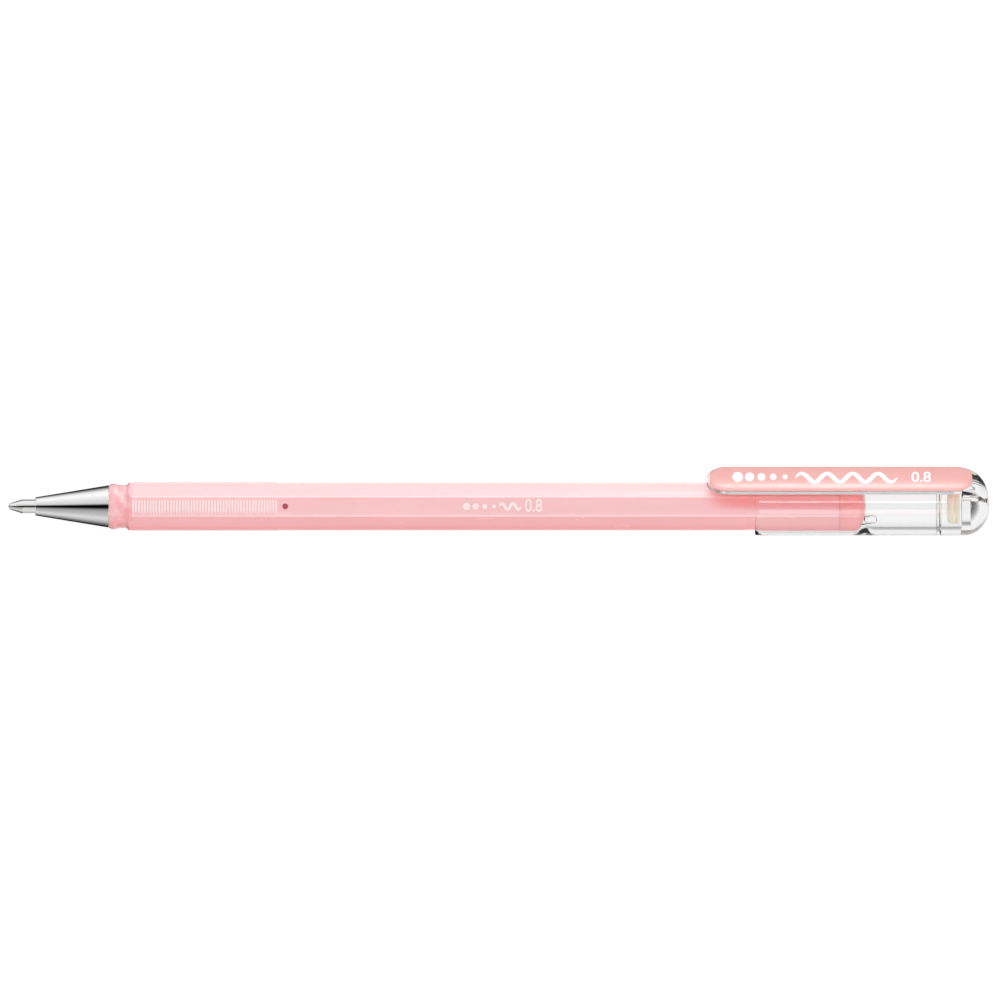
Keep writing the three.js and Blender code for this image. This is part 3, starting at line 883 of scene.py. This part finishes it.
def on_plug(x, y, lift):
    return on_facet(x, y, TAIL_APOTHEM + lift)


def make_plug_mark():
    """The round mark that the plug's mould left on one facet."""
    ring = hoop(138.45, -0.55, 0.9, 1.08)
    mark = print_mark("plug_mould_mark", [ring], on_plug, 0.04, PLUG)
    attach(mark, "barrel")
    return mark


# ---- cap


def let_light_in(obj):
    """Clear plastic that doesn't shade what is inside it."""
    obj.visible_shadow = False
    obj.visible_diffuse = False


def rounded_wave(value):
    """A sine or cosine pushed towards the corners of a square."""
    return math.copysign(abs(value) ** 0.5, value)


def snap_tab(direction, steps=14, count=32):
    """One of the small tabs that stop the pen in the cap's narrowing, as a closed loft."""
    middle = (TAB_INNER + TAB_OUTER) / 2
    half_depth = (TAB_OUTER - TAB_INNER) / 2
    rings = []
    for i in range(steps + 1):
        share = i / steps
        swell = (1 - abs(2 * share - 1) ** 4) ** 0.25
        ring = []
        for k in range(count):
            angle = TURN * k / count
            across = TAB_HALF_WIDTH * swell * rounded_wave(math.cos(angle))
            out = middle + half_depth * swell * rounded_wave(math.sin(angle))
            y = out * math.cos(direction) - across * math.sin(direction)
            z = out * math.sin(direction) + across * math.cos(direction)
            ring.append(at(TAB_FRONT + (TAB_REAR - TAB_FRONT) * share, y, z))
        rings.append(ring if swell > 0 else [sum(ring, Vector()) / count])
    return new_mesh("snap_tab", *skin(rings))


def make_cap_tube():
    tube = turned("cap_tube_fine", [
        (MOUTH + 1.1, CAP_BORE, 0.2), (MOUTH, CAP_BORE + 0.14, 0.05), (MOUTH, CAP_RADIUS - 0.12, 0.08),
        (MOUTH + 0.5, CAP_RADIUS, 0.3), (CAP_JOINT - 0.12, CAP_RADIUS), (CAP_JOINT, CAP_RADIUS - 0.12),
        (CAP_JOINT, 3.95), (CAP_JOINT - 0.65, 3.95, 0.05), (CAP_JOINT - 0.65, NARROW_BORE + 0.03),
        (NARROW_FULL, NARROW_BORE + 0.03, 0.9), (NARROW_START, CAP_BORE, 0.9),
    ], loop=True, count=128)
    bake(tube)
    combine(tube, [snap_tab(math.radians(degrees)) for degrees in (79, 169, 259, 349)], "UNION")
    clean(tube)
    weigh_normals(tube)
    dress(tube, CLEAR, "cap", ["cap_tube"])
    let_light_in(tube)


def soft_corner(station, start, end, height, power):
    """Height of a rounded outline that falls from `height` at `start` to nothing at `end`."""
    if station <= start:
        return height
    share = min(1.0, (station - start) / (end - start))
    return height * (1 - share**power) ** (1 / power)


def nose_width(station, front, length, half_width):
    """Half width of a bar whose front end is half an ellipse."""
    share = (front + length - station) / length
    return half_width * math.sqrt(max(0.0, 1 - share * share)) if share > 0 else half_width


def bar_section(station, half_width, bottom, top, fillet, crown=0.0):
    """A rounded rectangle across the clip, its top crowned by a given height."""
    fillet = min(fillet, 0.49 * (top - bottom), 0.9 * half_width)
    outline = []
    for i, (side, level) in enumerate(((1, 1), (-1, 1), (-1, -1), (1, -1))):
        y = side * (half_width - fillet)
        z = top - fillet if level > 0 else bottom + fillet
        for k in range(7):
            angle = math.pi / 2 * (i + k / 6)
            outline.append((y + fillet * math.cos(angle), z + fillet * math.sin(angle), level))
        if i in (0, 2):
            outline += [(y * (1 - k / 6), top if level > 0 else bottom, level) for k in range(1, 12)]
    points = []
    for y, z, level in outline:
        fall = crown * abs(y / half_width) ** CROWN_POWER if level > 0 else 0.0
        points.append(at(station, y, z - fall))
    return points


def clip_body(steps=16):
    """The clear arm and the hump that it grows from, as one closed loft."""
    nose = [CLIP_FRONT + CLIP_NOSE * (1 - math.cos(math.pi / 2 * i / steps)) for i in range(1, steps + 1)]
    arm = [CLIP_FRONT + CLIP_NOSE + 1.0 * i for i in range(1, 34)]
    root = [151.2 + 0.25 * i for i in range(20)] + [156.1 + 0.12 * i for i in range(14)]
    hump = [157.8 + (HUMP_END - 157.8) * math.sin(math.pi / 2 * i / 24) for i in range(24)]
    rings = [[at(CLIP_FRONT, 0, (CLIP_UNDERSIDE + CLIP_TOP) / 2)]]
    for station in [*nose, *arm, *root, *hump]:
        width = nose_width(station, CLIP_FRONT, CLIP_NOSE, CLIP_HALF_WIDTH)
        width = min(width, soft_corner(station, HUMP_PLAN_START, HUMP_END + 0.03, CLIP_HALF_WIDTH, 2.6))
        top = soft_corner(station, HUMP_PROFILE_START, HUMP_END, CLIP_TOP, SQUARENESS)
        drop = min(1.0, max(0.0, (station - ROOT_START) / 0.8))
        bottom = CLIP_UNDERSIDE - (CLIP_UNDERSIDE - 3.5) * drop**2
        bottom = min(bottom, 0.5 * top) if station > ROOT_START + 1 else bottom
        fillet = 0.05 + 1.0 * min(1.0, max(0.0, (station - 157.5) / 2.5))
        rings.append(bar_section(station, width, bottom, top, fillet))
    rings.append([at(HUMP_END + 0.02, 0, 0.4)])
    return new_mesh("clip_body", *skin(rings))


def bar(name, profile, place, count):
    """A thin round bar. `place` maps a distance along it, and two across it, to the frame."""
    rings = []
    for along, radius in profile:
        angles = [TURN * k / count for k in range(count)] if radius else [0]
        rings.append([place(along, radius * math.cos(a), radius * math.sin(a)) for a in angles])
    return new_mesh(name, *skin(rings))


def bar_along(name, start, end, radius, y, z):
    """A bar that runs along the pen, with softened ends."""
    soft = 0.25 * radius
    half = [(start, 0), (start, radius - soft), (start + soft, radius)]
    profile = half + [(start + end - station, r) for station, r in reversed(half)]
    return bar(name, profile, lambda x, across, up: at(x, y + across, z + up), 32)


def clip_bead():
    """The bar across the arm's underside, which grips a pocket."""
    half = [(-2.4, 0), (-2.4, 0.3), (-2.2, 0.55), (-1.9, 0.6)]
    profile = half + [(-y, radius) for y, radius in reversed(half)]
    height = CLIP_UNDERSIDE + 0.1
    return bar("clip_bead", profile, lambda y, x, up: at(CLIP_BEAD + x, y, height + up), 24)


def crown_hollow():
    """The seat for the seal and the pocket behind it, with the pocket's two air holes."""
    cup = turned("cup", [
        (CROWN_FRONT - 1, 0), (CROWN_FRONT - 1, NARROW_BORE), (CROWN_WALL, NARROW_BORE, 0.12),
        (CROWN_WALL, POCKET_RADIUS, 0.1), (POCKET_SHOULDER, POCKET_RADIUS),
        *shallow_dome(POCKET_SHOULDER, POCKET_END, POCKET_RADIUS),
    ], count=128)
    return [cup, *(bar_along("vent", CROWN_WALL - 0.5, 163.0, 0.32, y, 2.81) for y in (-1.3, 1.3))]


def crush_rib(degrees):
    """A rib that holds the seal, in a direction from +Y upwards."""
    centre = SEAL_RADIUS + 0.05 + CRUSH_RIB_RADIUS
    y = centre * math.cos(math.radians(degrees))
    z = centre * math.sin(math.radians(degrees))
    return bar_along("crush_rib", CRUSH_RIB_FRONT, CROWN_WALL + 0.2, CRUSH_RIB_RADIUS, y, z)


def frost_arm(obj):
    """Frosts the arm's sides, and leaves its top, its underside and the crown clear."""
    obj.data.materials.append(FROSTED)
    for face in obj.data.polygons:
        on_arm = face.center.z > AXIS + CLIP_UNDERSIDE * MM and face.center.x < at(156, 0, 0).x
        if on_arm and abs(face.normal.z) < 0.9:
            face.material_index = 1


def make_crown():
    """Crown, hump and arm as one clear moulding, which bends at the clip's root."""
    rim = CAP_JOINT + GAP
    shell = turned("crown_fine", [
        (CROWN_FRONT, 0), (CROWN_FRONT, 3.93, 0.08), (rim, 3.93), (rim, CAP_RADIUS - 0.1),
        (rim + 0.1, CAP_RADIUS), (DOME_CENTRE, CAP_RADIUS),
        *dome(DOME_CENTRE, CROWN_END - DOME_CENTRE, CAP_RADIUS),
    ], count=128)
    bake(shell)
    combine(shell, [clip_body(), clip_bead()], "UNION")
    combine(shell, crown_hollow(), "DIFFERENCE")
    combine(shell, [crush_rib(90), crush_rib(330)], "UNION")
    clean(shell)
    shell.name = "cap_crown_and_clip"
    weigh_normals(shell)
    dress(shell, CLEAR, replaces=["cap_crown", "clip_arm"])
    frost_arm(shell)
    bend_with_clip(shell)
    let_light_in(shell)


def bend_with_clip(obj):
    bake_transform(obj)


def make_seal():
    groove = SEAL_FRONT + 1.15
    seal = turned("cap_seal_fine", [
        (SEAL_FRONT + 0.5, 0), (SEAL_FRONT + 0.4, 1.0, 0.2), (SEAL_FRONT, 1.3, 0.15),
        (SEAL_FRONT, 2.4, 0.1), (SEAL_FRONT + 0.45, SEAL_RADIUS, 0.1), (groove, SEAL_RADIUS, 0.04),
        (groove + 0.04, 2.74, 0.03), (groove + 0.2, 2.74, 0.03), (groove + 0.24, SEAL_RADIUS, 0.04),
        (SEAL_REAR, SEAL_RADIUS, 0.12), (SEAL_REAR, 0),
    ])
    dress(seal, SEAL, "cap", ["cap_seal"])


def inlay_width(station):
    mirrored = INLAY_FRONT + INLAY_REAR - station
    return min(nose_width(s, INLAY_FRONT, INLAY_END, CLIP_HALF_WIDTH) for s in (station, mirrored))


def make_inlay(steps=20):
    ends = [INLAY_END * (1 - math.cos(math.pi / 2 * i / steps)) for i in range(1, steps + 1)]
    middle = [INLAY_FRONT + INLAY_END + i for i in range(1, 38)]
    stations = [INLAY_FRONT + e for e in ends] + middle + [INLAY_REAR - e for e in reversed(ends)]
    height = (INLAY_BOTTOM + INLAY_TOP) / 2
    rings = [[at(INLAY_FRONT, 0, height)]]
    for station in stations:
        width = inlay_width(station)
        share = width / CLIP_HALF_WIDTH
        top = INLAY_TOP - PRINT_LIFT - 0.12 * (1 - share) ** 2
        rings.append(bar_section(station, width, INLAY_BOTTOM, top, 0.1, INLAY_CROWN * share**2))
    rings.append([at(INLAY_REAR, 0, height)])
    inlay = weigh_normals(new_mesh("clip_inlay_fine", *skin(rings), sharp_angle=60))
    dress(inlay, INLAY, replaces=["clip_inlay"])
    bend_with_clip(inlay)


# ---- printed marks


def disc(x, y, radius, count=32, stretch=1.0):
    """Outline and face of a round dot."""
    angles = [TURN * k / count for k in range(count)]
    outline = [(x + radius * math.cos(a), y + stretch * radius * math.sin(a)) for a in angles]
    return outline, [list(range(count))]


def hoop(x, y, inner, outer, count=48):
    """Outline and faces of a flat ring."""
    points = []
    for radius in (inner, outer):
        points += disc(x, y, radius, count)[0]
    faces = [[k, (k + 1) % count, count + (k + 1) % count, count + k] for k in range(count)]
    return points, faces


def wave(start, end, height, width, turns, steps=96):
    """A ribbon that follows a sine wave, thin at both of its ends."""
    points = []
    for i in range(steps + 1):
        share = i / steps
        phase = TURN * turns * share
        slope = height * TURN * turns / (end - start) * math.cos(phase)
        half = width / 2 * min(1.0, 0.25 + 4 * math.sin(math.pi * share))
        across = Vector((-slope, 1)).normalized() * half
        middle = Vector((start + (end - start) * share, height * math.sin(phase)))
        points += [tuple(middle + across), tuple(middle - across)]
    return points, [[2 * i, 2 * i + 1, 2 * i + 3, 2 * i + 2] for i in range(steps)]


def numeral(text, size, x, y, weight=0.0):
    """Points and faces of a numeral, a little taller than it is wide."""
    curve = bpy.data.curves.new("numeral", "FONT")
    curve.body = text
    curve.size = size
    curve.offset = weight
    obj = add_object("numeral", curve)
    bpy.context.view_layer.update()
    mesh = evaluated_mesh(obj)
    points = [(v.co.x + x, 1.25 * v.co.y + y) for v in mesh.vertices]
    faces = [list(p.vertices) for p in mesh.polygons]
    bpy.data.objects.remove(obj)
    return points, faces


def print_mark(name, shapes, place, thickness, material):
    """A thin raised print. `place` maps a flat mark and its lift to the frame."""
    bm = bmesh.new()
    for points, faces in shapes:
        corners = [bm.verts.new(place(px, py, thickness)) for px, py in points]
        for face in faces:
            bm.faces.new([corners[k] for k in face])
    bmesh.ops.triangulate(bm, faces=[f for f in bm.faces if len(f.verts) > 4])
    made = bmesh.ops.extrude_face_region(bm, geom=bm.faces[:])
    down = place(0, 0, 0) - place(0, 0, thickness)
    moved = [v for v in made["geom"] if isinstance(v, bmesh.types.BMVert)]
    bmesh.ops.translate(bm, verts=moved, vec=down)
    mesh = bpy.data.meshes.new(name)
    finish_bmesh(bm, mesh, 30)
    return dress(add_object(name, mesh), material)


def on_barrel(x, y, lift):
    return on_facet(x, y, APOTHEM + lift)


def on_clip(x, y, lift):
    """Point on the crowned inlay."""
    fall = INLAY_CROWN * abs(y / CLIP_HALF_WIDTH) ** CROWN_POWER
    return at(x, y, INLAY_TOP - PRINT_LIFT - fall + lift)


def make_prints():
    """Plain decoration where the real pen carries lettering: dots, a wave and the ball's size."""
    marks = [disc(75.6 + 1.5 * i, 0, 0.62 - 0.1 * i) for i in range(4)]
    marks += [wave(81.0, 84.6, 0.5, 0.48, 2), numeral("0.8", 2.4, 85.2, -0.85, 0.04)]
    mark = print_mark("barrel_print", marks, on_barrel, 0.015, PALE_PRINT)
    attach(mark, "barrel")
    marks = [disc(120.3 + 1.95 * i, 0.2, 0.88 - 0.11 * i, stretch=1.35) for i in range(5)]
    marks += [wave(129.8, 146.6, 1.0, 0.85, 4), numeral("0.8", 2.7, 148.9, -0.95, 0.05)]
    white = print_mark("clip_print", marks, on_clip, 0.018, WHITE_PRINT)
    bend_with_clip(white)


# ---- stage, light and camera


FILL = 5.8  # strengths of the panels
SHEEN = 9.0
COOL_LIGHT = 32.0
REAR_LIGHT = 8.0
EDGE_LIGHT = 8.0
ROOM = (-0.6, 0.6)  # metres: how much of X each panel covers
BARREL_REACH = (-0.06, 0.034)
CLIP_REACH = (0.032, 0.085)
CAP_REACH = (0.043, 0.0785)
FILL_DISTANCE = 0.9  # metres from the pen's axis
GLOSS_DISTANCE = 0.3
FILL_DIRECTION = 52
FILL_HALF_WIDTH = 24
TAIL_SHADE = 0.12  # level of the surround beyond the tail, seen through clear plastic
TAIL_SHADE_LEAN = (0.55, 0.95)
STAGE_HALF = 3  # metres
STAGE_GLOW = 0.93
VIEW_ELEVATION = math.radians(45)
VIEW_WIDTH = 0.165  # metres across the picture
VIEW_RIGHT = 0.0002  # metres: the picture's centre from the pen's
VIEW_UP = 0.00106
LENS = 1000.0  # millimetres: so long that the view has next to no perspective


class Surround(Nodes):
    """A studio surround that depends on the direction round the pen's long axis.

    Directions are in degrees from -Y, upwards: 0 is level in front, 45 is the viewpoint, 90 is
    overhead and -90 is underfoot.
    """

    def __init__(self):
        world = bpy.data.worlds.new("studio")
        bpy.context.scene.world = world
        super().__init__(world)
        self.along, across, up = self.split(self.coordinates["Generated"])
        turn = self.maths("ARCTAN2", up, self.maths("MULTIPLY", across, -1))
        self.turn = self.remap(turn, 0, 1, -math.pi, math.pi)

    def levels(self, stops):
        """Grey level by direction from (degrees, level) stops."""
        return self.ramp(self.turn, [((degrees + 180) / 360, (level,) * 3) for degrees, level in stops])

    def finish(self, towards_tip, elsewhere, through):
        """Levels for directions that lean to the pen's tip, for the rest, and through clear plastic."""
        leaning = self.remap(self.along, 0, 1, -0.02, -0.06)
        not_far = self.remap(self.along, 0, 1, -0.7, -0.62)
        seen = self.mix(self.maths("MULTIPLY", leaning, not_far), elsewhere, towards_tip)
        beyond_tail = self.remap(self.along, 0, 1, *TAIL_SHADE_LEAN)
        through = self.mix(beyond_tail, through, (TAIL_SHADE,) * 3)
        path = self.add("ShaderNodeLightPath")
        level = self.mix(path.outputs["Is Transmission Ray"], seen, through)
        self.link(level, self.tree.nodes["Background"].inputs["Color"])


def light_only(panel, pieces):
    """Makes a panel light these pieces and no others."""
    lit = bpy.data.collections.new("lit_by_" + panel.name)
    for piece in pieces:
        lit.objects.link(piece)
    panel.light_linking.receiver_collection = lit


def light_by_group(barrel_pieces):
    """Plain light for every piece but the barrel's, which three tinted panels light instead.

    Milky plastic lets red light further in, so its shadows are coral and not grey. Warm light from
    the front and the rear and cool light from above add up to white, and where the clip shades the
    barrel from above only the warm light is left.
    """
    others = [o for o in bpy.context.scene.objects if o.type == "MESH" and o not in barrel_pieces]
    for name, direction, half_width, strength, colour, pieces in (
        ("fill", FILL_DIRECTION, FILL_HALF_WIDTH, FILL, (1.0, 1.0, 1.0), others),
        ("warm_front", FILL_DIRECTION, FILL_HALF_WIDTH, FILL, (1.0, 0.24, 0.24), barrel_pieces),
        ("cool_above", 93, 4.5, COOL_LIGHT, (0.1, 1.0, 1.0), barrel_pieces),
        ("warm_rear", 165, 12, REAR_LIGHT, (1.0, 0.1, 0.1), barrel_pieces),
    ):
        panel = light_panel(name, direction, ROOM, half_width, strength, gloss=False)
        panel.data.color = colour
        light_only(panel, pieces)


def ring_of_light():
    """Contrast for the plated cone, and soft even light for everything else."""
    surround = Surround()
    towards_tip = surround.levels([
        (-180, 0.08), (-172, 0.02), (-94, 0.02), (-80, 0.14), (-69, 0.25), (-50, 0.54), (-28, 0.74),
        (-8, 0.55), (16, 0.4), (28, 0.23), (33, 0.07), (39, 0.0), (50, 0.0), (55, 0.1), (61, 0.55),
        (67, 0.66), (91, 0.82), (116, 1.0), (131, 1.0), (147, 0.8), (157, 0.57), (168, 0.3), (178, 0.09),
    ])
    elsewhere = surround.levels([
        (-180, 0.15), (-152, 0.3), (-128, 0.8), (-95, 0.75), (-76, 0.4), (-58, 0.6), (-30, 0.8),
        (0, 0.75), (20, 0.6), (30, 0.4), (34, 0.02), (55, 0.02), (60, 0.5), (66, 0.7), (80, 0.8),
        (110, 1.0), (145, 0.95), (160, 0.4), (175, 0.15),
    ])
    through = surround.levels([
        (-180, 0.5), (-170, 0.8), (-160, 0.93), (-110, 0.93), (-98, 0.8), (-84, 0.42), (-66, 0.3),
        (-52, 0.4), (-38, 0.8), (0, 0.85), (25, 0.6), (35, 0.42), (55, 0.42), (65, 0.6), (100, 0.9),
        (145, 0.8), (160, 0.35), (175, 0.35),
    ])
    surround.finish(towards_tip, elsewhere, through)


def light_panel(name, direction, x_range, half_width, strength, gloss=True):
    """A soft panel that faces the pen, for gloss or for light on matt surfaces, but not for both.

    Its direction and half width are in degrees round the pen's axis, and its X range in metres.
    """
    angle = math.radians(direction)
    distance = GLOSS_DISTANCE if gloss else FILL_DISTANCE
    outward = Vector((0, -math.cos(angle), math.sin(angle)))
    data = bpy.data.lights.new(name, "AREA")
    data.shape = "RECTANGLE"
    data.size = x_range[1] - x_range[0]
    data.size_y = 2 * distance * math.tan(math.radians(half_width))
    data.energy = strength * data.size * data.size_y
    obj = add_object(name, data)
    obj.location = Vector((sum(x_range) / 2, 0, AXIS)) + outward * distance
    obj.rotation_euler = outward.to_track_quat("Z", "X").to_euler()
    obj.rotation_euler.rotate_axis("Z", math.radians(90))
    obj.visible_camera = False
    obj.visible_transmission = False
    obj.visible_glossy = gloss
    obj.visible_diffuse = not gloss
    data.cycles.use_multiple_importance_sampling = gloss  # the fill must reach inside the clear cap
    return obj


def make_lights():
    """The surround, and panels that only show in gloss, as the photo's pale lines along the pen."""
    ring_of_light()
    for name, direction, x_range, half_width, strength in (
        ("behind", 135, BARREL_REACH, 9, SHEEN * 0.09),
        ("above", 95, BARREL_REACH, 14, EDGE_LIGHT * 0.4),
        ("in_front", 2, BARREL_REACH, 9, EDGE_LIGHT * 0.6),
        ("cap_line", 62.6, CAP_REACH, 3, SHEEN * 2.2),
        ("cap_glow", 25, CAP_REACH, 8, SHEEN * 0.8),
        ("clip_strip", 123, CLIP_REACH, 4, SHEEN * 4.2),
    ):
        light_panel(name, direction, x_range, half_width, strength)


def make_stage():
    corners = [(x * STAGE_HALF, y * STAGE_HALF, 0) for x, y in ((-1, -1), (1, -1), (1, 1), (-1, 1))]
    floor = new_mesh("studio_floor", corners, [[0, 1, 2, 3]])
    shader = Shader(
        "studio_white", Roughness=0.9, Emission_Color=(1, 1, 1, 1), Emission_Strength=STAGE_GLOW,
    )
    shader.tint((0.1, 0.1, 0.1), (0.12, 0.12, 0.12), 3)
    floor.data.materials.append(shader.material)
    floor.visible_glossy = False
    floor.visible_transmission = False


def make_camera():
    data = bpy.data.cameras.new("studio_camera")
    data.lens = LENS
    data.clip_start = 0.1
    data.clip_end = 100
    back = Vector((0, -math.cos(VIEW_ELEVATION), math.sin(VIEW_ELEVATION)))
    up = Vector((0, math.sin(VIEW_ELEVATION), math.cos(VIEW_ELEVATION)))
    centre = Vector((VIEW_RIGHT, 0, AXIS)) + up * VIEW_UP
    camera = add_object("studio_camera", data)
    camera.location = centre + back * VIEW_WIDTH * LENS / data.sensor_width
    camera.rotation_euler = (-back).to_track_quat("-Z", "Y").to_euler()
    bpy.context.scene.camera = camera
    bpy.context.scene.view_settings.view_transform = "Standard"


make_camera()
make_stage()
make_lights()
make_tip()
make_holder()
make_ink()
make_nose()
barrel_pieces = [make_barrel(), make_plug(), make_plug_mark()]
make_cap_tube()
make_crown()
make_seal()
make_inlay()
make_prints()
light_by_group(barrel_pieces)
